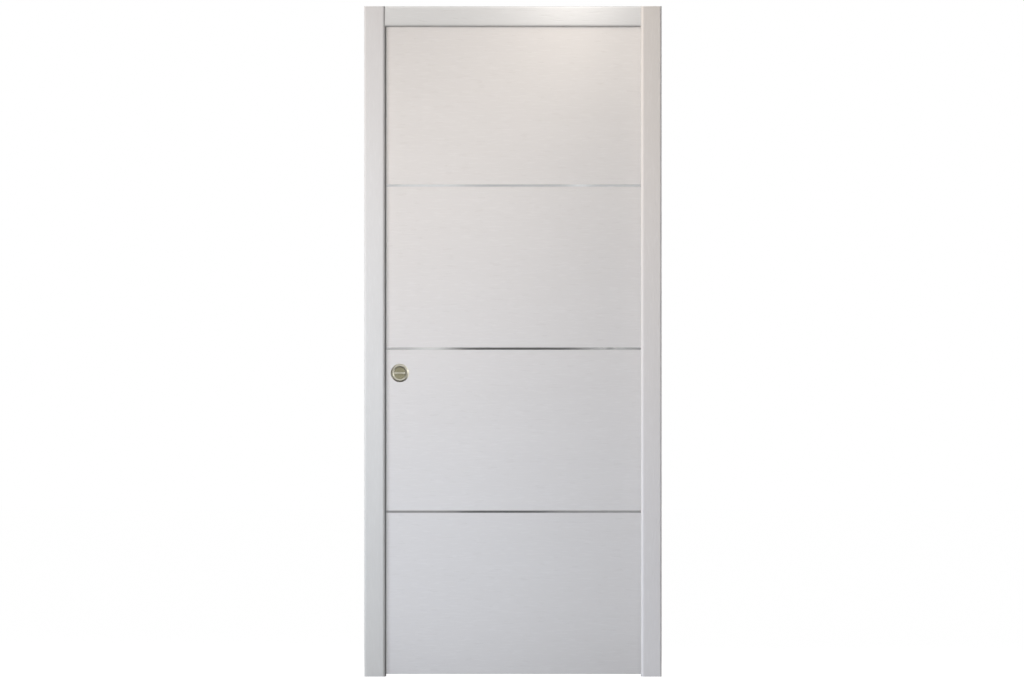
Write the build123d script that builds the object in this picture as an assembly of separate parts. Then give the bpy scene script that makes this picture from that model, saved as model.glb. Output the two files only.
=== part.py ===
from build123d import *
import os

# A framed pocket door: a flush leaf with metal inlays that hangs from a top track and slides
# between two split jambs into the wall beside it.
# X runs along the wall from the strike side to the pocket, Y goes through the wall with the front
# at low Y, and Z is up. The origin is at floor level on the back of the strike jamb, halfway
# through the wall. All sizes are in millimetres.

# Leaf
leaf_width = 812.8
leaf_height = 2032.0
leaf_thickness = 40.0
leaf_arris = 0.8            # small round along the leaf's four upright edges
floor_gap = 7.0             # floor to the leaf's lower edge
closing_gap = 5.0           # leading edge to the strike jamb with the door shut
panel_count = 4             # the inlays divide the leaf's height into this many panels
inlay_width = 7.0
inlay_depth = 2.0
inlay_joint = 0.15          # hairline joint above and below an inlay
inlay_drop = 1.9            # inlays below the equal division of the height

# Frame
wall_depth = 116.0
jamb_thickness = 19.0
side_gap = 6.5              # leaf face to split jamb, on each side
split_arris = 2.0           # round on the edges of the split jambs and head that face the leaf
mouth_overlap = 19.0        # how far the shut leaf stays inside the pocket mouth
head_overlap = 15.5         # how far the head hides the leaf's upper edge
header_thickness = 15.0

# Casing, a flat board with a tongue that slides into a groove in the jamb
casing_width = 64.5
casing_overhang = 1.0       # inner edge past the jamb's face, into the opening
casing_thickness = 16.0
head_casing_thickness = 10.0    # the head stands back between the side casings
casing_inner_round = 9.0
casing_outer_round = 6.0
tongue_thickness = 6.0
tongue_length = 18.0
tongue_side_room = 0.25     # groove wall to tongue, on each side
tongue_end_room = 4.0       # groove bottom to tongue, for walls that vary

# Track
track_gap = 5.0             # leaf's upper edge to the underside of the track
track_width = 40.0
track_height = 28.0
track_wall = 2.5
track_slot = 14.0
track_lip_thickness = 1.5
track_lip_height = 2.0

# Hangers: a trolley on four wheels in the track, a bolt, and a plate let into the leaf
hanger_inset = 90.0         # edge of the leaf to the bolt's axis
trolley_length = 64.0
trolley_height = 11.0
trolley_round = 3.0
wheel_radius = 9.0
wheel_width = 6.5
wheel_spacing = 40.0
wheel_room = 0.3            # wheel to runway, and wheel to trolley side
wheel_lip_room = 0.7        # wheel to the lip beside it
wheel_bevel = 0.8
axle_radius = 2.5
axle_room = 0.1
bolt_radius = 4.0
bolt_room = 0.2
bolt_head_height = 5.0
bolt_head_across = 13.0
bolt_tail = 3.0             # bolt end below the plate
bolt_tail_room = 1.0
nut_height = 6.0
plate_length = 74.0
plate_width = 26.0
plate_thickness = 3.0
plate_corner = 4.0
plate_depth = 12.0          # leaf's upper edge to the underside of the plate
plate_room = 0.5            # mortise wall to plate, all round

# Closing stop in the track
stop_length = 26.0
stop_nose_length = 6.0      # soft nose on the side of the trolley
stop_nose_radius = 5.0
stop_room = 0.4             # nose to trolley with the door shut

# Floor guide, a blade in a groove along the leaf's lower edge
guide_plate_thickness = 1.5
guide_blade_thickness = 5.0
guide_side_room = 1.5
guide_top_room = 2.0
guide_groove_depth = 14.0

# Flush pull, one on each face of the leaf, with a thumb turn in front and a coin release behind
pull_inset = 42.0           # leading edge to the pull's axis
pull_drop = 76.0            # middle inlay down to the pull's axis
pull_radius = 28.5
pull_rim_height = 2.6
pull_rim_width = 0.8        # flat top of the rim
pull_rim_round = 2.2
pull_dish_sag = 0.5         # hollow of the dished ring
pull_sleeve_radius = 25.5
pull_sleeve_room = 0.3
pull_floor = 1.5
well_radius = 18.5
well_mouth_depth = 1.6      # leaf face to the foot of the dished ring
well_depth = 11.0
turn_room = 0.4             # turn to pull, all round
turn_disc_thickness = 1.8
turn_bar_width = 9.0        # at the bar's ends
turn_bar_waist = 5.5        # at the bar's middle
turn_bar_drop = 1.2         # bar's top below the leaf's face
turn_bar_round = 1.2
spindle_radius = 3.0
spindle_room = 0.3
release_radius = 9.0
release_thickness = 3.2
release_round = 0.55
release_slot_width = 2.2
release_slot_length = 12.0
release_slot_depth = 1.6

# Lock in the leading edge, and its strike in the jamb
latch_case_height = 20.0
latch_case_room = 0.4
face_plate_width = 24.0
face_plate_height = 58.0
face_plate_thickness = 2.5
face_plate_corner = 6.0
face_plate_room = 0.2
hook_thickness = 4.0
hook_height = 14.0
hook_length = 15.0
hook_nose = 4.0
hook_notch_length = 5.0
hook_notch_depth = 6.0
hook_setback = 0.5          # hook's nose behind the face plate's front
hook_room = 0.8
strike_plate_thickness = 2.0
strike_slot_width = 8.0
strike_slot_height = 24.0
strike_box_depth = 12.0
strike_box_margin = 2.0

# Closing seals, a soft bulb on each side of the strike that the leading edge meets
seal_width = 6.0
seal_inset = 1.0            # leaf's face to the seal's outer side
seal_room = 0.5             # seal to leading edge with the door shut

# Places that follow from the sizes
leaf_x0 = jamb_thickness + closing_gap
leaf_x1 = leaf_x0 + leaf_width
leaf_z0 = floor_gap
leaf_z1 = leaf_z0 + leaf_height
leaf_y = leaf_thickness / 2
slot_y = leaf_y + side_gap
wall_y = wall_depth / 2
mouth_x0 = leaf_x1 - mouth_overlap
mouth_x1 = mouth_x0 + jamb_thickness
casing_x0 = jamb_thickness + casing_overhang
casing_x1 = mouth_x0 - casing_overhang
frame_x1 = casing_x1 + casing_width
head_z0 = leaf_z1 - head_overlap
head_z1 = head_z0 + jamb_thickness
casing_z1 = head_z0 - casing_overhang + casing_width
track_z0 = leaf_z1 + track_gap
track_z1 = track_z0 + track_height
jamb_z1 = track_z1
runway_z = track_z0 + track_wall
track_roof_z = track_z1 - track_wall
lip_z = runway_z + track_lip_height
groove_width = tongue_thickness + 2 * tongue_side_room
groove_depth = tongue_length + tongue_end_room
axle_z = runway_z + wheel_room + wheel_radius
wheel_y0 = track_slot / 2 + track_lip_thickness + wheel_lip_room
wheel_y1 = wheel_y0 + wheel_width
trolley_y = wheel_y0 - wheel_room
trolley_z1 = axle_z + trolley_height / 2
plate_z0 = leaf_z1 - plate_depth
plate_z1 = plate_z0 + plate_thickness
guide_groove_y = guide_blade_thickness / 2 + guide_side_room
pull_back_depth = well_depth + pull_floor
lock_y = leaf_y - pull_back_depth
spindle_hole_radius = spindle_radius + spindle_room
turn_radius = well_radius - turn_room
turn_seat = turn_room - well_depth
plate_face_x = leaf_x0 + face_plate_thickness
strike_x = jamb_thickness - strike_plate_thickness
hanger_x = {"leading": leaf_x0 + hanger_inset, "trailing": leaf_x1 - hanger_inset}
inlay_pitch = leaf_height / panel_count
inlay_row = {"bottom": 1, "middle": 2, "top": 3}
inlay_z = {level: leaf_z0 + row * inlay_pitch - inlay_drop for level, row in inlay_row.items()}
pull_x = leaf_x0 + pull_inset
pull_z = inlay_z["middle"] - pull_drop
wall_sides = {"front": -1, "back": 1}


def block(x, y, z):
    """A box between (low, high) limits along each axis."""
    size = [high - low for low, high in (x, y, z)]
    middle = [(high + low) / 2 for low, high in (x, y, z)]
    return Pos(*middle) * Box(*size)


def outwards(low, high, side):
    """(low, high) limits along Y, from distances off the middle of the wall on side -1 or 1."""
    return tuple(sorted((side * low, side * high)))


def across_x(outline, x0, x1, z):
    """An outline drawn in (Y, Z) about mid-wall at height z, run from x0 to x1."""
    return extrude(Plane((x0, 0, z), x_dir=(0, 1, 0), z_dir=(1, 0, 0)) * outline, amount=x1 - x0)


def rod(x, y, z0, z1, radius):
    """An upright round rod."""
    return Pos(x, y, (z0 + z1) / 2) * Cylinder(radius, z1 - z0)


def edges_at(shape, along, **place):
    """The straight edges along an axis whose middle lies at the given X, Y or Z."""
    found = shape.edges().filter_by(along)
    for axis, value in place.items():
        found = found.filter_by(lambda edge: abs(getattr(edge.center(), axis) - value) < 1e-3)
    return found


def about_pull(shape, side):
    """Turns a shape made about Z, with the leaf's face at Z = 0, to face out of the leaf at the pull."""
    face = Plane((pull_x, side * leaf_y, pull_z), x_dir=(1, 0, 0), z_dir=(0, side, 0))
    return face.location * shape


# Casings

def casing_board_outline(thickness):
    """Flat board seen on end: X from the opening's edge outwards, Y from the wall's face outwards."""
    board = Pos(casing_width / 2, thickness / 2) * Rectangle(casing_width, thickness)
    inner_corner = board.vertices().group_by(Axis.Y)[-1].sort_by(Axis.X)[0]
    board = fillet(inner_corner, casing_inner_round)
    outer_corner = board.vertices().group_by(Axis.Y)[-1].sort_by(Axis.X)[-1]
    return fillet(outer_corner, casing_outer_round)


def casing_tongue_outline():
    """Tongue behind the board, in the middle of the jamb's thickness and outside the opening."""
    middle = casing_overhang + jamb_thickness / 2
    return Pos(middle, -tongue_length / 2) * Rectangle(tongue_thickness, tongue_length)


def casing(start, outer_way, side, length_way, length, tongue_run, thickness):
    """A casing whose opening edge starts at start, its width going outer_way and its length length_way."""
    face_way = Vector(0, side, 0)
    normal = Vector(outer_way).cross(face_way)
    plane = Plane(start, x_dir=outer_way, z_dir=normal)
    turn = 1 if normal.dot(Vector(length_way)) > 0 else -1
    board = extrude(plane * casing_board_outline(thickness), amount=turn * length)
    tongue = extrude(plane * casing_tongue_outline(), amount=turn * tongue_run)
    return board + tongue


def side_casing(x, outer_way, side):
    start = (x, side * wall_y, 0)
    return casing(start, outer_way, side, (0, 0, 1), casing_z1, jamb_z1, casing_thickness)


def head_casing(side):
    length = casing_x1 - casing_x0
    start = (casing_x0, side * wall_y, head_z0 - casing_overhang)
    return casing(start, (0, 0, 1), side, (1, 0, 0), length, length, head_casing_thickness)


# Jambs and header

def upright_groove(x, side):
    """Groove for a side casing's tongue, in the edge of a jamb whose middle is at x."""
    half = groove_width / 2
    return block((x - half, x + half), outwards(wall_y - groove_depth, wall_y, side), (0, jamb_z1))


def lock_plate_outline(room=0.0):
    """Round-cornered outline shared by the lock's face plate and its strike."""
    width = face_plate_width + 2 * room
    height = face_plate_height + 2 * room
    return RectangleRounded(width, height, face_plate_corner + room)


def strike_jamb():
    jamb = block((0, jamb_thickness), (-wall_y, wall_y), (0, jamb_z1))
    for side in wall_sides.values():
        jamb -= upright_groove(jamb_thickness / 2, side)
    jamb -= across_x(lock_plate_outline(face_plate_room), strike_x, jamb_thickness, pull_z)
    box_width = strike_slot_width + 2 * strike_box_margin
    box_height = strike_slot_height + 2 * strike_box_margin
    return jamb - across_x(Rectangle(box_width, box_height), strike_x - strike_box_depth, strike_x, pull_z)


def strike_plate():
    slot = Rectangle(strike_slot_width, strike_slot_height)
    return across_x(lock_plate_outline() - slot, strike_x, jamb_thickness, pull_z)


def closing_seal(side):
    """Soft bulb down the strike jamb that fills the closing gap beside the leaf's leading edge."""
    bulb = seal_width / 2
    nose = closing_gap - seal_room - bulb
    section = Pos(nose / 2, 0) * Rectangle(nose, seal_width) + Pos(nose, 0) * Circle(bulb)
    section &= Pos((nose + bulb) / 2, 0) * Rectangle(nose + bulb, seal_width)
    y = side * (leaf_y - seal_inset - bulb)
    return extrude(Pos(jamb_thickness, y, 0) * section, amount=leaf_z1)


def split_jamb(side):
    jamb = block((mouth_x0, mouth_x1), outwards(slot_y, wall_y, side), (0, jamb_z1))
    jamb = fillet(edges_at(jamb, Axis.Z, Y=side * slot_y), split_arris)
    return jamb - upright_groove((mouth_x0 + mouth_x1) / 2, side)


def head_jamb(side):
    head = block((jamb_thickness, mouth_x0), outwards(slot_y, wall_y, side), (head_z0, head_z1))
    head = fillet(edges_at(head, Axis.X, Y=side * slot_y, Z=head_z0), split_arris)
    middle = (head_z0 + head_z1) / 2
    half = groove_width / 2
    groove_y = outwards(wall_y - groove_depth, wall_y, side)
    return head - block((jamb_thickness, mouth_x0), groove_y, (middle - half, middle + half))


def header_board():
    return block((0, frame_x1), (-wall_y, wall_y), (jamb_z1, jamb_z1 + header_thickness))


# Track, stop and floor guide

def track():
    """Aluminium channel, open below, with lips that keep the wheels on their runways."""
    outside = Pos(0, track_height / 2) * Rectangle(track_width, track_height)
    inside_height = track_height - 2 * track_wall
    inside = Pos(0, track_height / 2) * Rectangle(track_width - 2 * track_wall, inside_height)
    slot = Pos(0, track_wall / 2) * Rectangle(track_slot, track_wall)
    section = outside - inside - slot
    lip_y = (track_slot + track_lip_thickness) / 2
    for side in wall_sides.values():
        lip = Rectangle(track_lip_thickness, track_lip_height)
        section += Pos(side * lip_y, track_wall + track_lip_height / 2) * lip
    return across_x(section, jamb_thickness, frame_x1, track_z0)


def closing_stop():
    """Block clamped between the track's lips and roof, with a soft nose that the leading trolley meets."""
    nose_x1 = hanger_x["leading"] - trolley_length / 2 - stop_room
    body_x1 = nose_x1 - stop_nose_length
    body = block((body_x1 - stop_length, body_x1), (-trolley_y, trolley_y), (lip_z, track_roof_z))
    return body + across_x(Circle(stop_nose_radius), body_x1, nose_x1, axle_z)


def floor_guide():
    """Foot between the split jambs, with a round-ended blade that runs in the leaf's lower groove."""
    foot = block((mouth_x0, mouth_x1), (-slot_y, slot_y), (0, guide_plate_thickness))
    blade_top = leaf_z0 + guide_groove_depth - guide_top_room
    blade = SlotOverall(jamb_thickness, guide_blade_thickness)
    return foot + extrude(Pos((mouth_x0 + mouth_x1) / 2, 0, 0) * blade, amount=blade_top)


# Leaf

def hanger_mortise(x):
    """Pocket in the leaf's upper edge for a hanger plate, with a hole below it for the bolt's tail."""
    outline = RectangleRounded(plate_length + 2 * plate_room, plate_width + 2 * plate_room, plate_corner)
    pocket = extrude(Pos(x, 0, plate_z0) * outline, amount=plate_depth)
    tail_z = plate_z0 - bolt_tail - bolt_tail_room
    return pocket + rod(x, 0, tail_z, plate_z0, bolt_radius + bolt_tail_room)


def lock_mortise():
    """Bore through the leaf for both pulls, and the latch case's way out to the leading edge."""
    bore = Cylinder(pull_sleeve_radius + pull_sleeve_room, leaf_thickness)
    bore = about_pull(Pos(0, 0, -leaf_y) * bore, 1)
    case = Rectangle(2 * (lock_y + latch_case_room), latch_case_height + 2 * latch_case_room)
    way_out = across_x(case, leaf_x0, pull_x, pull_z)
    seat = across_x(lock_plate_outline(face_plate_room), leaf_x0, plate_face_x, pull_z)
    return bore + way_out + seat


def door_slab():
    slab = block((leaf_x0, leaf_x1), (-leaf_y, leaf_y), (leaf_z0, leaf_z1))
    slab = fillet(slab.edges().filter_by(Axis.Z), leaf_arris)
    half = inlay_width / 2 + inlay_joint
    for z in inlay_z.values():
        for side in wall_sides.values():
            depth = outwards(leaf_y - inlay_depth, leaf_y, side)
            slab -= block((leaf_x0, leaf_x1), depth, (z - half, z + half))
    groove_z = (leaf_z0, leaf_z0 + guide_groove_depth)
    slab -= block((leaf_x0, leaf_x1), (-guide_groove_y, guide_groove_y), groove_z)
    for x in hanger_x.values():
        slab -= hanger_mortise(x)
    return slab - lock_mortise()


def inlay(z, side):
    """Flat metal strip let flush into the leaf's face, from edge to edge."""
    depth = outwards(leaf_y - inlay_depth, leaf_y, side)
    half = inlay_width / 2
    strip = block((leaf_x0, leaf_x1), depth, (z - half, z + half))
    return fillet(edges_at(strip, Axis.Z, Y=side * leaf_y), leaf_arris)


# Flush pull, turn and release

def flush_pull(side):
    """Turned cup with a raised rim, a dished ring and a deep well, let into the leaf's face."""
    rim_edge = (pull_radius, pull_rim_height - pull_rim_round)
    rim_outer = (pull_radius - pull_rim_round, pull_rim_height)
    rim_inner = (pull_radius - pull_rim_round - pull_rim_width, pull_rim_height)
    well_mouth = (well_radius, -well_mouth_depth)
    underside = Polyline(
        (spindle_hole_radius, -well_depth), (spindle_hole_radius, -pull_back_depth),
        (pull_sleeve_radius, -pull_back_depth), (pull_sleeve_radius, 0), (pull_radius, 0), rim_edge)
    rim = RadiusArc(rim_edge, rim_outer, -pull_rim_round) + Line(rim_outer, rim_inner)
    dish = SagittaArc(rim_inner, well_mouth, -pull_dish_sag)
    well = Polyline(well_mouth, (well_radius, -well_depth), (spindle_hole_radius, -well_depth))
    section = make_face(underside + rim + dish + well)
    return about_pull(revolve(Plane.XZ * section, Axis.Z), side)


def thumb_turn():
    """Disc on the floor of the front well with a waisted bar to pinch, and the spindle behind it."""
    disc = Pos(0, 0, turn_seat + turn_disc_thickness / 2) * Cylinder(turn_radius, turn_disc_thickness)
    end, waist = turn_bar_width / 2, turn_bar_waist / 2
    upper = ThreePointArc((-turn_radius, end), (0, waist), (turn_radius, end))
    lower = ThreePointArc((-turn_radius, -end), (0, -waist), (turn_radius, -end))
    ends = Line((-turn_radius, end), (-turn_radius, -end)) + Line((turn_radius, end), (turn_radius, -end))
    outline = make_face(upper + lower + ends) & Circle(turn_radius)
    bar_foot = turn_seat + turn_disc_thickness
    bar = extrude(Pos(0, 0, bar_foot) * outline, amount=-turn_bar_drop - bar_foot)
    bar = fillet(bar.edges().group_by(Axis.Z)[-1], turn_bar_round)
    spindle_end = -leaf_thickness - turn_seat
    spindle = rod(0, 0, spindle_end, turn_seat, spindle_radius)
    return about_pull(disc + bar + spindle, wall_sides["front"])


def release_disc():
    """Small disc on the floor of the back well with a coin slot across it."""
    top = turn_seat + release_thickness
    disc = rod(0, 0, turn_seat, top, release_radius)
    disc = fillet(disc.edges().group_by(Axis.Z)[-1], release_round)
    slot = Pos(0, 0, top - release_slot_depth) * SlotOverall(release_slot_length, release_slot_width)
    return about_pull(disc - extrude(slot, amount=release_slot_depth), wall_sides["back"])


# Lock

def hook_slot_outline():
    return Rectangle(hook_thickness + 2 * hook_room, hook_height + 2 * hook_room)


def lock_case():
    """Lock between the two pulls, with the latch case that leads to the leading edge."""
    drum = about_pull(Pos(0, 0, -leaf_y) * Cylinder(pull_sleeve_radius, 2 * lock_y), 1)
    case = across_x(Rectangle(2 * lock_y, latch_case_height), plate_face_x, pull_x, pull_z)
    hole = about_pull(Pos(0, 0, -leaf_y) * Cylinder(spindle_hole_radius, 2 * lock_y), 1)
    slot_end = leaf_x0 + hook_setback + hook_length
    return drum + case - hole - across_x(hook_slot_outline(), plate_face_x, slot_end, pull_z)


def lock_face_plate():
    return across_x(lock_plate_outline() - hook_slot_outline(), leaf_x0, plate_face_x, pull_z)


def hook_bolt():
    """Hook drawn back into the lock, with its notch open below."""
    body = Pos(hook_length / 2, 0) * Rectangle(hook_length, hook_height)
    nose_corner = body.vertices().sort_by(Axis.X)[:2].sort_by(Axis.Y)[-1]
    body = fillet(nose_corner, hook_nose)
    notch = Rectangle(hook_notch_length, hook_notch_depth)
    notch_x = hook_nose + hook_notch_length / 2
    outline = body - Pos(notch_x, (hook_notch_depth - hook_height) / 2) * notch
    plane = Plane((leaf_x0 + hook_setback, 0, pull_z), x_dir=(1, 0, 0), z_dir=(0, -1, 0))
    return extrude(plane * outline, amount=hook_thickness / 2, both=True)


# Hangers

def hanger_plate(x):
    hole = Circle(bolt_radius + bolt_room)
    outline = RectangleRounded(plate_length, plate_width, plate_corner) - hole
    return extrude(Pos(x, 0, plate_z0) * outline, amount=plate_thickness)


def hanger_bolt(x):
    """Hexagon bolt from the top of the trolley down to the plate, with its lock nut on the plate."""
    hexagon = RegularPolygon(bolt_head_across / 2, 6, major_radius=False)
    shank = rod(x, 0, plate_z0 - bolt_tail, trolley_z1, bolt_radius)
    head = extrude(Pos(x, 0, trolley_z1) * hexagon, amount=bolt_head_height)
    nut = extrude(Pos(x, 0, plate_z1) * hexagon, amount=nut_height)
    return shank + head + nut


def axle_places(x):
    return [x - wheel_spacing / 2, x + wheel_spacing / 2]


def cross_rod(x, y0, y1, radius):
    """A round rod through the trolley at axle height, from y0 to y1."""
    return Pos(x, (y0 + y1) / 2, axle_z) * Rot(90, 0, 0) * Cylinder(radius, y1 - y0)


def trolley(x):
    """Block with two axles, bored for the bolt that carries the leaf."""
    body = Pos(x, 0, axle_z) * Box(trolley_length, 2 * trolley_y, trolley_height)
    body = fillet(body.edges().filter_by(Axis.Y), trolley_round)
    body -= rod(x, 0, axle_z - trolley_height / 2, trolley_z1, bolt_radius + bolt_room)
    for axle_x in axle_places(x):
        body += cross_rod(axle_x, -wheel_y1, wheel_y1, axle_radius)
    return body


def wheel(x, side):
    y0, y1 = outwards(wheel_y0, wheel_y1, side)
    tyre = cross_rod(x, y0, y1, wheel_radius)
    tyre = chamfer(tyre.edges().filter_by(GeomType.CIRCLE), wheel_bevel)
    return tyre - cross_rod(x, y0, y1, axle_radius + axle_room)


def trolley_wheels(x):
    return Compound([wheel(axle_x, side) for axle_x in axle_places(x) for side in wall_sides.values()])


# Every piece under its own name

def all_pieces():
    pieces = {
        "strike_jamb": strike_jamb(),
        "strike_plate": strike_plate(),
        "header_board": header_board(),
        "track": track(),
        "closing_stop": closing_stop(),
        "floor_guide": floor_guide(),
        "door_slab": door_slab(),
        "thumb_turn": thumb_turn(),
        "release_disc": release_disc(),
        "lock_case": lock_case(),
        "lock_face_plate": lock_face_plate(),
        "hook_bolt": hook_bolt(),
    }
    for name, side in wall_sides.items():
        pieces[f"closing_seal_{name}"] = closing_seal(side)
        pieces[f"split_jamb_{name}"] = split_jamb(side)
        pieces[f"head_jamb_{name}"] = head_jamb(side)
        pieces[f"casing_left_{name}"] = side_casing(casing_x0, (-1, 0, 0), side)
        pieces[f"casing_right_{name}"] = side_casing(casing_x1, (1, 0, 0), side)
        pieces[f"casing_head_{name}"] = head_casing(side)
        pieces[f"flush_pull_{name}"] = flush_pull(side)
        for level, z in inlay_z.items():
            pieces[f"inlay_{level}_{name}"] = inlay(z, side)
    for place, x in hanger_x.items():
        pieces[f"hanger_plate_{place}"] = hanger_plate(x)
        pieces[f"hanger_bolt_{place}"] = hanger_bolt(x)
        pieces[f"trolley_{place}"] = trolley(x)
        pieces[f"trolley_wheels_{place}"] = trolley_wheels(x)
    return pieces


os.makedirs("parts", exist_ok=True)
for name, piece in all_pieces().items():
    export_step(piece, f"parts/{name}.step")
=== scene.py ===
import math

import bmesh
import bpy
from mathutils import Matrix, Vector


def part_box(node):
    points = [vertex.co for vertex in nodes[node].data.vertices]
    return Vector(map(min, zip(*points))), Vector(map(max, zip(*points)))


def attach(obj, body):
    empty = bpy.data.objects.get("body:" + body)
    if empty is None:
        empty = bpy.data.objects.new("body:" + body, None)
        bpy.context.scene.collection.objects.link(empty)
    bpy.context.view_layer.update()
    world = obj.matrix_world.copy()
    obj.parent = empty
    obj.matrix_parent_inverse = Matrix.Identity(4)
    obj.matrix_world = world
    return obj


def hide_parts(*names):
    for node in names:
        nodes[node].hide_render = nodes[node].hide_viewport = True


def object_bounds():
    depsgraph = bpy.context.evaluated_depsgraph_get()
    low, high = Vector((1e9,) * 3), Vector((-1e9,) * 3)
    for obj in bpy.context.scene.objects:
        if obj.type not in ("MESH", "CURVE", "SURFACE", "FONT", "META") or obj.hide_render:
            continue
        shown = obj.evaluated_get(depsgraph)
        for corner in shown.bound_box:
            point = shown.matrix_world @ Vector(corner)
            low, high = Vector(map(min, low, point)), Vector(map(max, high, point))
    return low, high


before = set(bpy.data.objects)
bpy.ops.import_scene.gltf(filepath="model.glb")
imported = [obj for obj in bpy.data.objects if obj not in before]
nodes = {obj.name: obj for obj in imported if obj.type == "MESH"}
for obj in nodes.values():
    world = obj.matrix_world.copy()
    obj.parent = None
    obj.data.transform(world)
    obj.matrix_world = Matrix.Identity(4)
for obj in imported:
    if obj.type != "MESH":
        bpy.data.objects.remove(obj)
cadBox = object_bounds()  # the frame's own box

scene = bpy.context.scene
scene.view_settings.view_transform = "Standard"

# places read from the frame, in metres
lowCorner, highCorner = Vector(cadBox[0]), Vector(cadBox[1])
doorCentre = (lowCorner + highCorner) / 2
slabLow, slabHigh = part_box("door_slab")
slabCentre = (slabLow + slabHigh) / 2
pullLow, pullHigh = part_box("flush_pull_front")
pullCentre = (pullLow + pullHigh) / 2
print("frame loaded:", len(nodes), "nodes")


# camera: a long lens square to the door, set so that the frame fills the picture's height

cameraLook = {
    "distance": 60.0,
    "farthest": 200.0,
    "imageSize": (1024, 683),
    "frameHeightPixels": 670.5,
    "frameCentrePixel": (513.0, 341.45),
}


def addCamera(look):
    width, height = look["imageSize"]
    metresPerPixel = (highCorner.z - lowCorner.z) / look["frameHeightPixels"]
    offsetX = (look["frameCentrePixel"][0] - width / 2) * metresPerPixel
    offsetZ = (look["frameCentrePixel"][1] - height / 2) * metresPerPixel
    data = bpy.data.cameras.new("camera")
    camera = bpy.data.objects.new("camera", data)
    scene.collection.objects.link(camera)
    camera.location = (doorCentre.x - offsetX, lowCorner.y - look["distance"], doorCentre.z + offsetZ)
    camera.rotation_euler = (math.radians(90), 0, 0)
    data.sensor_fit = "HORIZONTAL"
    data.lens = data.sensor_width * look["distance"] / (width * metresPerPixel)
    data.clip_end = look["farthest"]
    scene.camera = camera


addCamera(cameraLook)
print("camera set")


# node helpers

nodeSpacing = 200       # between nodes in the editor
noiseSpan = (0.3, 0.7)  # where most of a noise's values lie


def addNode(tree, kind, **settings):
    node = tree.nodes.new(kind)
    node.location = (nodeSpacing * len(tree.nodes), 0)
    for name, value in settings.items():
        setattr(node, name, value)
    return node


def setInputs(node, values):
    for name, value in values.items():
        node.inputs[name].default_value = value


def mathNode(tree, operation, *values):
    node = addNode(tree, "ShaderNodeMath", operation=operation)
    for socket, value in zip(node.inputs, values):
        if hasattr(value, "is_output"):
            tree.links.new(value, socket)
        else:
            socket.default_value = value
    return node.outputs[0]


def splitPlace(tree, place):
    split = addNode(tree, "ShaderNodeSeparateXYZ")
    tree.links.new(place, split.inputs[0])
    return split.outputs


def newGroup(name, inputs, outputs):
    group = bpy.data.node_groups.new(name, "ShaderNodeTree")
    for label, kind, value in inputs:
        socket = group.interface.new_socket(name=label, in_out="INPUT", socket_type="NodeSocket" + kind)
        socket.default_value = value
    for label in outputs:
        group.interface.new_socket(name=label, in_out="OUTPUT", socket_type="NodeSocketFloat")
    entry = addNode(group, "NodeGroupInput")
    leave = addNode(group, "NodeGroupOutput")
    return group, entry.outputs, leave.inputs


def noise(tree, vector, detail, roughness=0.5):
    node = addNode(tree, "ShaderNodeTexNoise")
    setInputs(node, {"Scale": 1.0, "Detail": detail, "Roughness": roughness})
    tree.links.new(vector, node.inputs["Vector"])
    return node.outputs["Fac"]


def rangeNode(tree, value, fromSpan, toSpan=(0, 1)):
    node = addNode(tree, "ShaderNodeMapRange")
    for label, span in (("From", fromSpan), ("To", toSpan)):
        setInputs(node, {label + " Min": span[0], label + " Max": span[1]})
    tree.links.new(value, node.inputs["Value"])
    return node.outputs["Result"]


def marking(tree, place, mark):
    # a noise with features of the mark's size along each axis, drawn out to 0 and 1 where it has a span
    scale = addNode(tree, "ShaderNodeMapping", vector_type="POINT")
    setInputs(scale, {"Scale": [1 / size for size in mark["size"]]})
    tree.links.new(place, scale.inputs["Vector"])
    value = noise(tree, scale.outputs["Vector"], mark["detail"], mark.get("roughness", 0.5))
    return rangeNode(tree, value, mark["span"]) if "span" in mark else value


# shared effects

grainLook = {
    # raised dashes, sparse sunk ticks, fine pores and slow clouds of tone
    "marks": {
        "dash": {"size": (0.042, 0.0052, 0.0052), "detail": 2.5, "span": (0.52, 0.68)},
        "tick": {"size": (0.048, 0.0070, 0.0070), "detail": 1.0, "span": (0.65, 0.72)},
        "pore": {"size": (0.016, 0.0016, 0.0016), "detail": 2.0},
        "cloud": {"size": (0.45, 0.06, 0.06), "detail": 3.0},
    },
    # how much each mark counts
    "Tone": {"cloud": 0.6, "dash": 0.4, "tick": -0.5},
    "Height": {"dash": 1.0, "pore": 0.35, "tick": -6.0},
    "Rough": {"pore": 0.5, "cloud": 0.5},
}


def makeEmbossedGrain(look):
    # fine grain pressed into laminate, running along X of the place it is given
    outputs = ("Tone", "Height", "Rough")
    group, entry, leave = newGroup(
        "embossedGrain", [("Place", "Vector", (0, 0, 0)), ("Ticks", "Float", 1.0)], outputs)
    marks = {name: marking(group, entry["Place"], mark) for name, mark in look["marks"].items()}
    marks["tick"] = mathNode(group, "MULTIPLY", marks["tick"], entry["Ticks"])
    for output in outputs:
        total = 0
        for name, weight in look[output].items():
            total = mathNode(group, "MULTIPLY_ADD", marks[name], weight, total)
        group.links.new(total, leave[output])
    return group


brushLook = {
    "line": {"size": (0.03, 0.00025, 0.00025), "detail": 3.0, "roughness": 0.6},
    "wave": {"size": (0.22, 0.5, 0.5), "detail": 1.0},
}


def makeBrushedLines(look):
    # fine straight brushing along X of the place it is given, with slow uneven stretches
    group, entry, leave = newGroup("brushedLines", [("Place", "Vector", (0, 0, 0))], ("Lines", "Waves"))
    group.links.new(marking(group, entry["Place"], look["line"]), leave["Lines"])
    group.links.new(marking(group, entry["Place"], look["wave"]), leave["Waves"])
    return group


ringLook = {
    "detail": 2.0,
    "roughness": 0.6,
    "patch": {"size": (0.012, 0.012, 0.012), "detail": 3.0},
}


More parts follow.
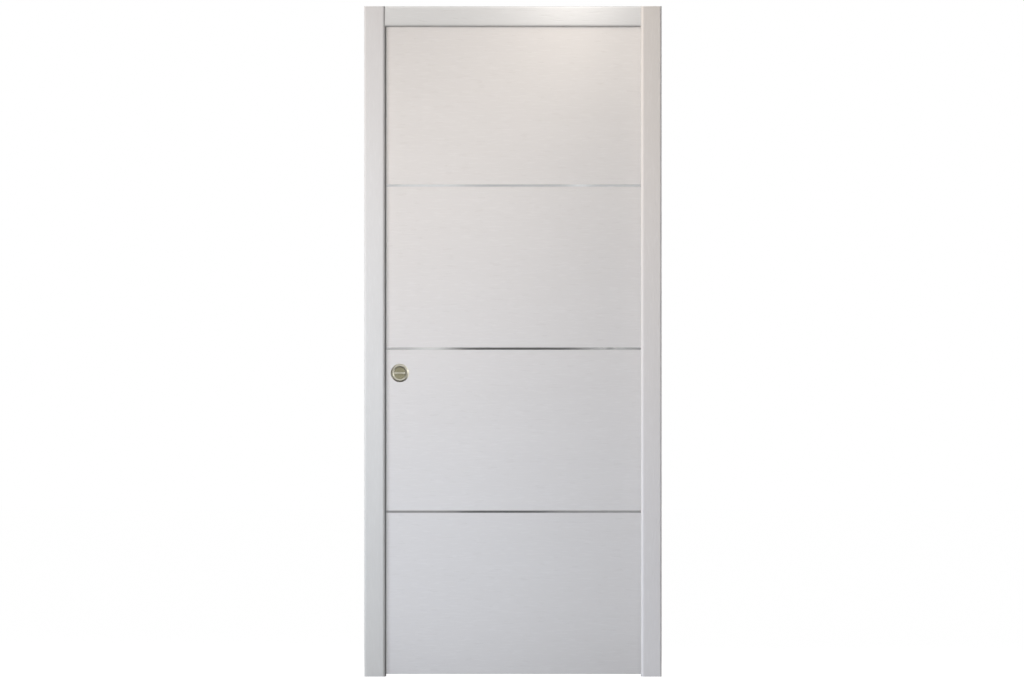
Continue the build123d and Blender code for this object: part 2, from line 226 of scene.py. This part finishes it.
def makeTurnedRings(look):
    # lathe rings about the Y axis of the place it is given
    group, entry, leave = newGroup(
        "turnedRings", [("Place", "Vector", (0, 0, 0)), ("Pitch", "Float", 0.0004)], ("Rings", "Patches"))
    split = splitPlace(group, entry["Place"])
    flat = addNode(group, "ShaderNodeCombineXYZ")
    group.links.new(split["X"], flat.inputs["X"])
    group.links.new(split["Z"], flat.inputs["Y"])
    radius = addNode(group, "ShaderNodeVectorMath", operation="LENGTH")
    group.links.new(flat.outputs[0], radius.inputs[0])
    ring = addNode(group, "ShaderNodeCombineXYZ")
    group.links.new(mathNode(group, "DIVIDE", radius.outputs["Value"], entry["Pitch"]), ring.inputs["X"])
    group.links.new(noise(group, ring.outputs[0], look["detail"], look["roughness"]), leave["Rings"])
    group.links.new(marking(group, entry["Place"], look["patch"]), leave["Patches"])
    return group


mottleLook = {
    "blotchDetail": 3.0,
    "speckle": {"size": (0.08, 0.08, 0.08), "detail": 2.0},  # as a share of a blotch
}


def makeMottle(look):
    # blotches and fine speckle, for moulded, rubber and plated pieces
    group, entry, leave = newGroup(
        "mottle", [("Place", "Vector", (0, 0, 0)), ("Size", "Float", 0.01)], ("Blotch", "Speckle"))
    scaled = addNode(group, "ShaderNodeVectorMath", operation="DIVIDE")
    group.links.new(entry["Place"], scaled.inputs[0])
    group.links.new(entry["Size"], scaled.inputs[1])
    group.links.new(noise(group, scaled.outputs[0], look["blotchDetail"]), leave["Blotch"])
    group.links.new(marking(group, scaled.outputs[0], look["speckle"]), leave["Speckle"])
    return group


embossedGrain = makeEmbossedGrain(grainLook)
brushedLines = makeBrushedLines(brushLook)
turnedRings = makeTurnedRings(ringLook)
mottle = makeMottle(mottleLook)
print("shared effects made")


# materials

def newMaterial(name, values):
    material = bpy.data.materials.new(name)
    material.use_nodes = True
    tree = material.node_tree
    shader = tree.nodes["Principled BSDF"]
    setInputs(shader, values)
    return material, tree, shader


def objectPlace(tree, turn=(0, 0, 0), centre=(0, 0, 0)):
    coordinate = addNode(tree, "ShaderNodeTexCoord")
    mapping = addNode(tree, "ShaderNodeMapping", vector_type="TEXTURE")
    setInputs(mapping, {"Location": centre, "Rotation": turn})
    tree.links.new(coordinate.outputs["Object"], mapping.inputs["Vector"])
    return mapping.outputs["Vector"]


def placeGroup(tree, group, place, values):
    node = addNode(tree, "ShaderNodeGroup", node_tree=group)
    tree.links.new(place, node.inputs["Place"])
    setInputs(node, values)
    return node.outputs


def dress(tree, shader, look, tone, rough, height):
    # a colour between dark and light, a roughness within its span, and relief
    colour = addNode(tree, "ShaderNodeMix", data_type="RGBA")
    setInputs(colour, {"A": (*look["dark"], 1), "B": (*look["light"], 1)})
    tree.links.new(tone, colour.inputs["Factor"])
    tree.links.new(colour.outputs["Result"], shader.inputs["Base Color"])
    tree.links.new(rangeNode(tree, rough, noiseSpan, look["roughness"]), shader.inputs["Roughness"])
    bump = addNode(tree, "ShaderNodeBump")
    setInputs(bump, {"Strength": look["bumpStrength"], "Distance": look["bumpDistance"]})
    tree.links.new(height, bump.inputs["Height"])
    tree.links.new(bump.outputs["Normal"], shader.inputs["Normal"])
    return colour.outputs["Result"]


laminateLook = {
    "dark": (0.640, 0.628, 0.618),
    "light": (0.690, 0.680, 0.672),
    "roughness": (0.40, 0.50),
    "specular": 0.4,
    "bumpStrength": 0.25,
    "bumpDistance": 0.0002,
    "levelTicks": 1.0,     # how deep the sparse ticks are in level boards
    "uprightTicks": 0.35,  # and in upright ones
    "bandDepth": 0.0005,   # of the leaf's edge banding, whose grain runs up the edge
}

upright = (0, math.radians(90), 0)  # turns the grain to run up a board


def uprightPlace(tree):
    return objectPlace(tree, upright)


def bandedPlace(tree):
    # level, but turned upright on the leaf's two edges
    fromCentre = splitPlace(tree, objectPlace(tree, centre=(slabCentre.x, 0, 0)))["X"]
    bandStart = slabHigh.x - slabCentre.x - laminateLook["bandDepth"]
    onBand = mathNode(tree, "GREATER_THAN", mathNode(tree, "ABSOLUTE", fromCentre), bandStart)
    banded = addNode(tree, "ShaderNodeMix", data_type="VECTOR")
    tree.links.new(onBand, banded.inputs["Factor"])
    tree.links.new(objectPlace(tree), banded.inputs["A"])
    tree.links.new(uprightPlace(tree), banded.inputs["B"])
    return banded.outputs["Result"]


def makeLaminate(name, look, findPlace, ticks):
    material, tree, shader = newMaterial(name, {"Specular IOR Level": look["specular"]})
    grain = placeGroup(tree, embossedGrain, findPlace(tree), {"Ticks": ticks})
    dress(tree, shader, look, grain["Tone"], grain["Rough"], grain["Height"])
    return material


inlayLook = {
    "dark": (0.66, 0.66, 0.66),
    "light": (0.80, 0.80, 0.80),
    "roughness": (0.13, 0.22),
    "bumpStrength": 0.15,
    "bumpDistance": 0.00005,
}

trackLook = {
    "dark": (0.50, 0.50, 0.51),
    "light": (0.66, 0.66, 0.67),
    "roughness": (0.30, 0.45),
    "bumpStrength": 0.2,
    "bumpDistance": 0.00005,
}


def makeBrushedMetal(name, look):
    material, tree, shader = newMaterial(name, {"Metallic": 1.0})
    brushed = placeGroup(tree, brushedLines, objectPlace(tree), {})
    dress(tree, shader, look, brushed["Waves"], brushed["Lines"], brushed["Lines"])
    return material


nickelLook = {
    "dark": (0.66, 0.63, 0.52),
    "light": (0.80, 0.77, 0.65),
    "wellShade": (0.50, 0.49, 0.40),  # painted shade: how much of the colour is left down in the well
    "wellDepth": (0.0010, 0.0035),   # below the leaf's face, where the well's painted shade starts and is full
    "roughness": (0.20, 0.32),
    "ringPitch": 0.0005,
    "bumpStrength": 0.2,
    "bumpDistance": 0.00004,
}


def makeNickel(name, look):
    material, tree, shader = newMaterial(name, {"Metallic": 1.0})
    place = objectPlace(tree, centre=(pullCentre.x, 0, pullCentre.z))
    rings = placeGroup(tree, turnedRings, place, {"Pitch": look["ringPitch"]})
    colour = dress(tree, shader, look, rings["Patches"], rings["Rings"], rings["Rings"])
    # painted shade: the colour darkens with depth down in the well, as if shaded there
    fromMiddle = mathNode(tree, "ABSOLUTE", splitPlace(tree, place)["Y"])
    wellSpan = [slabHigh.y - slabCentre.y - depth for depth in look["wellDepth"]]
    paintedWellShade = addNode(tree, "ShaderNodeMix", data_type="RGBA", blend_type="MULTIPLY")
    setInputs(paintedWellShade, {"B": (*look["wellShade"], 1)})
    tree.links.new(rangeNode(tree, fromMiddle, wellSpan), paintedWellShade.inputs["Factor"])
    tree.links.new(colour, paintedWellShade.inputs["A"])
    tree.links.new(paintedWellShade.outputs["Result"], shader.inputs["Base Color"])
    return material


lockLook = {
    "dark": (0.50, 0.49, 0.45),
    "light": (0.66, 0.65, 0.61),
    "roughness": (0.25, 0.40),
    "size": 0.006,
    "metallic": 1.0,
    "bumpStrength": 0.1,
    "bumpDistance": 0.00003,
}

zincLook = {
    "dark": (0.52, 0.54, 0.58),
    "light": (0.74, 0.75, 0.76),
    "roughness": (0.28, 0.48),
    "size": 0.004,
    "metallic": 1.0,
    "bumpStrength": 0.15,
    "bumpDistance": 0.00003,
}

nylonLook = {
    "dark": (0.74, 0.73, 0.69),
    "light": (0.84, 0.83, 0.80),
    "roughness": (0.38, 0.52),
    "size": 0.005,
    "metallic": 0.0,
    "bumpStrength": 0.1,
    "bumpDistance": 0.00003,
}

guideLook = {
    "dark": (0.62, 0.62, 0.60),
    "light": (0.72, 0.72, 0.70),
    "roughness": (0.40, 0.55),
    "size": 0.004,
    "metallic": 0.0,
    "bumpStrength": 0.15,
    "bumpDistance": 0.00004,
}

rubberLook = {
    "dark": (0.018, 0.018, 0.019),
    "light": (0.045, 0.045, 0.046),
    "roughness": (0.60, 0.80),
    "size": 0.005,
    "metallic": 0.0,
    "bumpStrength": 0.3,
    "bumpDistance": 0.00006,
}

# a rubber closing seal; its dark colour also stands in for the shade of the gap beside the leaf
sealGapShadeLook = {
    "dark": (0.140, 0.137, 0.132),
    "light": (0.210, 0.205, 0.198),
    "roughness": (0.55, 0.75),
    "size": 0.006,
    "metallic": 0.0,
    "bumpStrength": 0.2,
    "bumpDistance": 0.00005,
}


def makeMottled(name, look):
    material, tree, shader = newMaterial(name, {"Metallic": look["metallic"]})
    spots = placeGroup(tree, mottle, objectPlace(tree), {"Size": look["size"]})
    dress(tree, shader, look, spots["Blotch"], spots["Speckle"], spots["Speckle"])
    return material


headerLook = {
    "dark": (0.46, 0.31, 0.17),
    "light": (0.66, 0.49, 0.30),
    "roughness": (0.55, 0.75),
    "ring": {"size": (0.60, 0.012, 0.012), "detail": 4.0, "roughness": 0.55, "span": noiseSpan},
    "bumpStrength": 0.3,
    "bumpDistance": 0.0002,
}


def makeHeaderWood(name, look):
    material, tree, shader = newMaterial(name, {})
    place = objectPlace(tree)
    grain = placeGroup(tree, embossedGrain, place, {"Ticks": 0.0})
    dress(tree, shader, look, marking(tree, place, look["ring"]), grain["Rough"], grain["Height"])
    return material


levelLaminate = makeLaminate("levelLaminate", laminateLook, bandedPlace, laminateLook["levelTicks"])
uprightLaminate = makeLaminate("uprightLaminate", laminateLook, uprightPlace, laminateLook["uprightTicks"])
inlayAluminium = makeBrushedMetal("inlayAluminium", inlayLook)
trackAluminium = makeBrushedMetal("trackAluminium", trackLook)
pullNickel = makeNickel("pullNickel", nickelLook)
lockSteel = makeMottled("lockSteel", lockLook)
zincSteel = makeMottled("zincSteel", zincLook)
wheelNylon = makeMottled("wheelNylon", nylonLook)
guideNylon = makeMottled("guideNylon", guideLook)
stopRubber = makeMottled("stopRubber", rubberLook)
# the seal's dark colour is partly painted shade of the gap
sealRubberGapShade = makeMottled("sealRubberGapShade", sealGapShadeLook)
headerWood = makeHeaderWood("headerWood", headerLook)

# each finish and how the names of its pieces start
finishes = {
    levelLaminate: ("door_slab", "head_jamb", "casing_head"),
    uprightLaminate: ("strike_jamb", "split_jamb", "casing_left", "casing_right"),
    inlayAluminium: ("inlay",),
    trackAluminium: ("track",),
    pullNickel: ("flush_pull", "thumb_turn", "release_disc"),
    lockSteel: ("lock_case", "lock_face_plate", "hook_bolt", "strike_plate"),
    zincSteel: ("hanger_plate", "hanger_bolt", "trolley_leading", "trolley_trailing"),
    wheelNylon: ("trolley_wheels",),
    guideNylon: ("floor_guide",),
    stopRubber: ("closing_stop",),
    sealRubberGapShade: ("closing_seal",),
    headerWood: ("header_board",),
}

for material, starts in finishes.items():
    for name, node in nodes.items():
        if name.startswith(starts):
            for slot in node.material_slots:
                slot.material = material
print("materials set:", len(finishes))


# modelling helpers

smoothAngle = math.radians(35)  # edges sharper than this stay sharp
nearEnough = 0.00001            # for picking edges by their place


def pickEdges(piece, wanted):
    # in edit mode, selects the edges whose ends are both wanted
    bpy.ops.mesh.select_mode(type="EDGE")
    bpy.ops.mesh.select_all(action="DESELECT")
    mesh = bmesh.from_edit_mesh(piece.data)
    for edge in mesh.edges:
        edge.select_set(all(wanted(vertex.co) for vertex in edge.verts))
    bmesh.update_edit_mesh(piece.data)


def copyPiece(piece, move):
    # a copy with its own mesh, moved in the mesh
    double = piece.copy()
    double.data = piece.data.copy()
    scene.collection.objects.link(double)
    double.data.transform(move)
    return double


def finishPiece(piece, name, material, body):
    piece.name = piece.data.name = name
    piece.data.materials.clear()
    piece.data.materials.append(material)
    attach(piece, body)


# pulls, whose rim the solids leave plain

pullLook = {
    "sides": 96,
    "edgeHeight": 0.0004,    # rim's outer edge above the leaf's face
    "crestRadius": 0.0226,
    "crestHeight": 0.0029,
    "mouthHeight": 0.0010,   # mouth of the well above the leaf's face
    "wellRadius": 0.0185,
    "wellDepth": 0.0110,
    "holeRadius": 0.0033,
    "sleeveRadius": 0.0255,
    "backDepth": 0.0125,
    "edgeRound": (0.0002, 2),   # size and steps
    "crestRound": (0.0013, 6),
    "mouthRound": (0.0006, 4),
}


def makeFlushPull(look):
    # a ring at the rim's foot, drawn out ring by ring over the rim, down the well and back up the sleeve
    rim = (pullHigh.x - pullLow.x) / 2
    edge, crest, mouth = look["edgeHeight"], look["crestHeight"], look["mouthHeight"]
    well, hole, sleeve = look["wellRadius"], look["holeRadius"], look["sleeveRadius"]
    floor, back = -look["wellDepth"], -look["backDepth"]
    outline = [
        (rim, 0), (rim, edge), (look["crestRadius"], crest), (well, mouth), (well, floor),
        (hole, floor), (hole, back), (sleeve, back), (sleeve, 0)]
    bpy.ops.object.select_all(action="DESELECT")
    bpy.ops.mesh.primitive_circle_add(vertices=look["sides"], radius=rim, rotation=(math.radians(90), 0, 0),
                                      location=(pullCentre.x, slabLow.y, pullCentre.z))
    pull = bpy.context.object
    bpy.ops.object.transform_apply(location=True, rotation=True, scale=True)
    bpy.ops.object.mode_set(mode="EDIT")
    bpy.ops.mesh.select_all(action="SELECT")
    for (oldRadius, oldHeight), (radius, height) in zip(outline, outline[1:]):
        bpy.ops.mesh.extrude_region_move(TRANSFORM_OT_translate={"value": (0, oldHeight - height, 0)})
        growth = radius / oldRadius
        bpy.ops.transform.resize(value=(growth, 1, growth), center_override=(pullCentre.x, 0, pullCentre.z))
    bpy.ops.mesh.select_mode(type="EDGE")
    bpy.ops.mesh.select_all(action="DESELECT")
    bpy.ops.mesh.select_non_manifold()
    bpy.ops.mesh.bridge_edge_loops()
    bpy.ops.mesh.select_all(action="SELECT")
    bpy.ops.mesh.normals_make_consistent(inside=False)
    for height, roundName in ((edge, "edgeRound"), (crest, "crestRound"), (mouth, "mouthRound")):
        size, steps = look[roundName]
        pickEdges(pull, lambda place: abs(slabLow.y - place.y - height) < nearEnough)
        bpy.ops.mesh.bevel(offset=size, segments=steps, affect="EDGES")
    bpy.ops.object.mode_set(mode="OBJECT")
    bpy.ops.object.shade_smooth_by_angle(angle=smoothAngle)
    return pull


pullFront = makeFlushPull(pullLook)
halfTurn = Matrix.Translation((2 * pullCentre.x, 0, 0)) @ Matrix.Rotation(math.pi, 4, "Z")
pullBack = copyPiece(pullFront, halfTurn)
for pull, side in ((pullFront, "front"), (pullBack, "back")):
    finishPiece(pull, "pull_cup_" + side, pullNickel, "leaf")
    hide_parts("flush_pull_" + side)
print("pulls turned")


# screw heads

screwLook = {
    "sides": 32,
    "radius": 0.0033,
    "proud": 0.0004,
    "sunk": 0.0006,
    "crown": (0.0003, 3),                # size and steps of the round
    "recess": (0.0036, 0.0009, 0.0010),  # length, width and height of each of the two cuts
    "turn": 37,                          # degrees from one screw to the next, as driven home
    "lockRise": 0.021,                   # from the lock's middle up and down
    "hangerReach": 0.026,                # from the bolt along the leaf
    "hangerSpread": 0.007,               # from the bolt across the leaf
    "guideSpread": 0.018,                # from the blade to each side
    "guideFoot": 0.0015,                 # thickness of the guide's foot
}


def makeScrewHead(look):
    # a low head with a cross recess, its seat at the origin, facing up
    bpy.ops.object.select_all(action="DESELECT")
    bpy.ops.mesh.primitive_cylinder_add(vertices=look["sides"], radius=look["radius"],
                                        depth=look["proud"] + look["sunk"],
                                        location=(0, 0, (look["proud"] - look["sunk"]) / 2))
    head = bpy.context.object
    bpy.ops.object.transform_apply(location=True, rotation=True, scale=True)
    bpy.ops.object.mode_set(mode="EDIT")
    size, steps = look["crown"]
    pickEdges(head, lambda place: place.z > look["proud"] - nearEnough)
    bpy.ops.mesh.bevel(offset=size, segments=steps, affect="EDGES")
    bpy.ops.object.mode_set(mode="OBJECT")
    for turn in (0, 90):
        bpy.ops.mesh.primitive_cube_add(size=1, location=(0, 0, look["proud"]), scale=look["recess"],
                                        rotation=(0, 0, math.radians(turn)))
        cutter = bpy.context.object
        bpy.context.view_layer.objects.active = head
        cut = head.modifiers.new("recess", "BOOLEAN")
        cut.operation = "DIFFERENCE"
        cut.object = cutter
        bpy.ops.object.modifier_apply(modifier=cut.name)
        bpy.data.objects.remove(cutter)
    bpy.ops.object.select_all(action="DESELECT")
    head.select_set(True)
    bpy.ops.object.shade_smooth_by_angle(angle=smoothAngle)
    return head


def driveScrews(head, places, facing):
    # copies of the head at their places, joined
    bpy.ops.object.select_all(action="DESELECT")
    upToFacing = Vector((0, 0, 1)).rotation_difference(Vector(facing)).to_matrix().to_4x4()
    for count, place in enumerate(places):
        driven = Matrix.Rotation(math.radians(count * screwLook["turn"]), 4, "Z")
        screw = copyPiece(head, Matrix.Translation(place) @ upToFacing @ driven)
        screw.select_set(True)
        bpy.context.view_layer.objects.active = screw
    bpy.ops.object.join()
    return bpy.context.object


def lockScrews(x):
    rise = screwLook["lockRise"]
    return [(x, 0, pullCentre.z + step) for step in (-rise, rise)]


def hangerScrews(plateName):
    low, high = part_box(plateName)
    reach, spread = screwLook["hangerReach"], screwLook["hangerSpread"]
    middle = (low.x + high.x) / 2
    return [(middle + x, y, high.z) for x in (-reach, reach) for y in (-spread, spread)]


def guideScrews():
    low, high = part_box("floor_guide")
    spread = screwLook["guideSpread"]
    return [((low.x + high.x) / 2, y, low.z + screwLook["guideFoot"]) for y in (-spread, spread)]


left, right, up = (-1, 0, 0), (1, 0, 0), (0, 0, 1)
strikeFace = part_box("strike_plate")[1].x
screwSets = [
    ("face_plate_screws", lockScrews(slabLow.x), left, lockSteel, "leaf", "lock_steel"),
    ("strike_plate_screws", lockScrews(strikeFace), right, lockSteel, "frame", "lock_steel"),
    ("floor_guide_screws", guideScrews(), up, zincSteel, "frame", "hanger_steel"),
    ("hanger_screws_leading", hangerScrews("hanger_plate_leading"), up, zincSteel, "leaf", "hanger_steel"),
    ("hanger_screws_trailing", hangerScrews("hanger_plate_trailing"), up, zincSteel, "leaf", "hanger_steel"),
]
screwHead = makeScrewHead(screwLook)
for name, places, facing, material, body, slotName in screwSets:
    finishPiece(driveScrews(screwHead, places, facing), name, material, body)
bpy.data.objects.remove(screwHead)
print("screws driven:", len(screwSets), "sets")


# stage and light

stageLook = {
    "floorSize": 120.0,
    "floorColour": (0.40, 0.40, 0.40),
    "floorRoughness": 0.9,
    "floorGlow": 0.89,
    "ambientColour": (1.0, 1.0, 1.0),
    "ambient": 0.27,
}

# "only" and "not" name the pieces that a lamp is turned on or flagged off
# "mirrored" lets shiny pieces show the lamp
lightLook = {
    "keyLamp": {"at": (-0.10, -1.50, 1.85), "aim": (0.42, 0, 1.0), "size": 0.6, "power": 15.2,
                "colour": (1, 0.90, 0.805), "mirrored": False, "not": ("casing",)},
    "lowFill": {"at": (-0.03, -1.55, 0.20), "aim": (0.42, 0, 1.0), "size": 1.0, "power": 22.8,
                "colour": (0.772, 0.857, 1.0), "mirrored": False, "not": ("casing",)},
    "headSpot": {"at": (0.62, -0.50, 2.05), "aim": (0.62, 0, 2.05), "size": 0.1, "power": 0.82,
                 "colour": (1, 0.905, 0.80), "mirrored": True, "not": ("casing",)},
    "leftTrimHigh": {"at": (-1.08, -1.62, 1.95), "aim": (0, 0, 1.6), "size": 0.6, "power": 23.9,
                     "colour": (1, 0.87, 0.79), "mirrored": False, "only": ("casing_left",)},
    "leftTrimLow": {"at": (-1.08, -1.62, 0.85), "aim": (0, 0, 0.8), "size": 0.6, "power": 25.3,
                    "colour": (0.765, 0.89, 1), "mirrored": False, "only": ("casing_left",)},
    "rightTrimHigh": {"at": (-0.85, -1.70, 2.25), "aim": (0.84, 0, 1.7), "size": 0.8, "power": 42.3,
                      "colour": (1, 0.845, 0.675), "mirrored": True, "only": ("casing_right",)},
    "rightTrimLow": {"at": (-0.85, -1.70, 0.40), "aim": (0.84, 0, 0.6), "size": 0.8, "power": 35.1,
                     "colour": (0.705, 0.81, 1), "mirrored": True, "only": ("casing_right",)},
    "headTrim": {"at": (-0.8, -1.9, 3.15), "aim": (0.42, 0, 2.05), "size": 0.6, "power": 46,
                 "colour": (1, 0.985, 0.965), "mirrored": True, "only": ("casing_head",)},
    "headTrimSpot": {"at": (0.61, -0.36, 2.22), "aim": (0.61, 0, 2.05), "size": 0.1, "power": 0.74,
                     "colour": (1, 0.96, 0.92), "mirrored": True, "only": ("casing_head",)},
    "rearLeft": {"at": (-1.9, 2.2, 1.6), "aim": (0.42, 0, 1.0), "size": 1.2, "power": 50,
                 "colour": (1, 0.97, 0.94), "mirrored": False, "not": ("casing_left_front",)},
    "rearRight": {"at": (3.2, 1.5, 1.6), "aim": (0.42, 0, 1.0), "size": 1.2, "power": 64,
                  "colour": (0.96, 0.98, 1.0), "mirrored": False},
}

# how a card is turned, in degrees: along the wall, square to it or lying level
along, square, level = (90, 0, 0), (90, 0, 90), (0, 0, 0)

# cards round the door that only shiny surfaces show, as studios use on bright trim
cardLook = {
    "paleCard": {"at": (0.40, -0.77, 1.55), "size": (1.10, 0.60), "turn": along, "tone": 0.68},
    "greyCard": {"at": (0.40, -0.77, 0.725), "size": (1.10, 1.05), "turn": along, "tone": 0.375},
    "upperGlow": {"at": (0.15, -0.72, 1.53), "size": (0.20, 0.30), "turn": along, "tone": 0.96},
    "softCard": {"at": (0.055, -0.70, 1.00), "size": (0.31, 0.50), "turn": along, "tone": 0.60},
    "middleGlow": {"at": (0.165, -0.68, 1.05), "size": (0.09, 0.20), "turn": along, "tone": 1.0},
    "darkCard": {"at": (0.435, -0.67, 1.00), "size": (0.37, 0.50), "turn": along, "tone": 0.15},
    "dimCard": {"at": (0.39, -0.67, 0.475), "size": (0.28, 0.55), "turn": along, "tone": 0.17},
    "glintCard": {"at": (0.63, -0.57, 1.53), "size": (0.04, 0.26), "turn": along, "tone": 1.15},
    "pullGlow": {"at": (0.066, -0.55, 0.90), "size": (0.18, 0.13), "turn": along, "tone": 0.95},
    "leftCard": {"at": (-0.90, -0.65, 1.05), "size": (1.20, 1.70), "turn": square, "tone": 0.03},
    "spotCard": {"at": (0.72, -0.62, 1.10), "size": (0.34, 0.24), "turn": square, "tone": 2.4},
    "underCard": {"at": (-0.10, -0.78, 0.25), "size": (2.60, 1.25), "turn": level, "tone": 0.04},
    "overCard": {"at": (0.20, -0.97, 2.35), "size": (2.20, 1.60), "turn": level, "tone": 0.65},
    "rearCard": {"at": (0.42, 0.80, 1.05), "size": (1.30, 2.00), "turn": along, "tone": 0.40},
    "rearGlow": {"at": (0.30, 0.74, 1.10), "size": (0.16, 1.60), "turn": along, "tone": 0.95},
    "rearUnderCard": {"at": (0.10, 0.78, 0.25), "size": (2.60, 1.25), "turn": level, "tone": 0.04},
    "rearOverCard": {"at": (0.20, 0.97, 2.35), "size": (2.20, 1.60), "turn": level, "tone": 0.65},
}


def plainRays(tree):
    # 1 for what the camera, mirrors and glass see, 0 for light that bounces
    rays = addNode(tree, "ShaderNodeLightPath").outputs
    seen = mathNode(tree, "MAXIMUM", rays["Is Camera Ray"], rays["Is Glossy Ray"])
    return mathNode(tree, "MAXIMUM", seen, rays["Is Transmission Ray"])


def addWorld(look):
    world = bpy.data.worlds.new("studio")
    world.use_nodes = True
    scene.world = world
    tree = world.node_tree
    ambient = tree.nodes["Background"]
    setInputs(ambient, {"Color": (*look["ambientColour"], 1), "Strength": look["ambient"]})
    white = addNode(tree, "ShaderNodeBackground")
    setInputs(white, {"Color": (1, 1, 1, 1), "Strength": 1.0})
    mix = addNode(tree, "ShaderNodeMixShader")
    tree.links.new(plainRays(tree), mix.inputs[0])
    tree.links.new(ambient.outputs[0], mix.inputs[1])
    tree.links.new(white.outputs[0], mix.inputs[2])
    tree.links.new(mix.outputs[0], tree.nodes["World Output"].inputs["Surface"])


def addFloor(look):
    bpy.ops.object.select_all(action="DESELECT")
    bpy.ops.mesh.primitive_plane_add(size=look["floorSize"], location=(doorCentre.x, 0, lowCorner.z))
    floor = bpy.context.object
    floor.name = "floor"
    material, tree, shader = newMaterial("floor", {
        "Base Color": (*look["floorColour"], 1), "Roughness": look["floorRoughness"],
        "Specular IOR Level": 0.0, "Emission Color": (1, 1, 1, 1)})
    glow = mathNode(tree, "MULTIPLY", plainRays(tree), look["floorGlow"])
    tree.links.new(glow, shader.inputs["Emission Strength"])
    floor.data.materials.append(material)


def addCard(name, look):
    bpy.ops.object.select_all(action="DESELECT")
    bpy.ops.mesh.primitive_plane_add(size=1, location=look["at"],
                                     rotation=[math.radians(angle) for angle in look["turn"]])
    card = bpy.context.object
    card.name = name
    card.scale = (*look["size"], 1)
    material = newMaterial(name, {
        "Base Color": (0, 0, 0, 1), "Specular IOR Level": 0.0,
        "Emission Color": (look["tone"], look["tone"], look["tone"], 1), "Emission Strength": 1.0})[0]
    card.data.materials.append(material)
    card.visible_camera = card.visible_diffuse = card.visible_shadow = card.visible_transmission = False


def addLight(name, look):
    data = bpy.data.lights.new(name, "AREA")
    data.shape = "SQUARE"
    data.size = look["size"]
    data.energy = look["power"]
    data.color = look["colour"]
    light = bpy.data.objects.new(name, data)
    scene.collection.objects.link(light)
    light.location = look["at"]
    light.rotation_euler = (Vector(look["aim"]) - Vector(look["at"])).to_track_quat("-Z", "Y").to_euler()
    light.visible_camera = False
    light.visible_glossy = look["mirrored"]
    if "only" in look or "not" in look:
        flagLight(light, look)


def flagLight(light, look):
    starts = look.get("only") or look["not"]
    chosen = bpy.data.collections.new(light.name + "Pieces")
    for name, node in nodes.items():
        if name.startswith(starts):
            chosen.objects.link(node)
    light.light_linking.receiver_collection = chosen
    if "not" in look:
        for item in chosen.collection_objects:
            item.light_linking.link_state = "EXCLUDE"


addWorld(stageLook)
addFloor(stageLook)
for name, look in cardLook.items():
    addCard(name, look)
for name, look in lightLook.items():
    addLight(name, look)
print("stage and lights set")
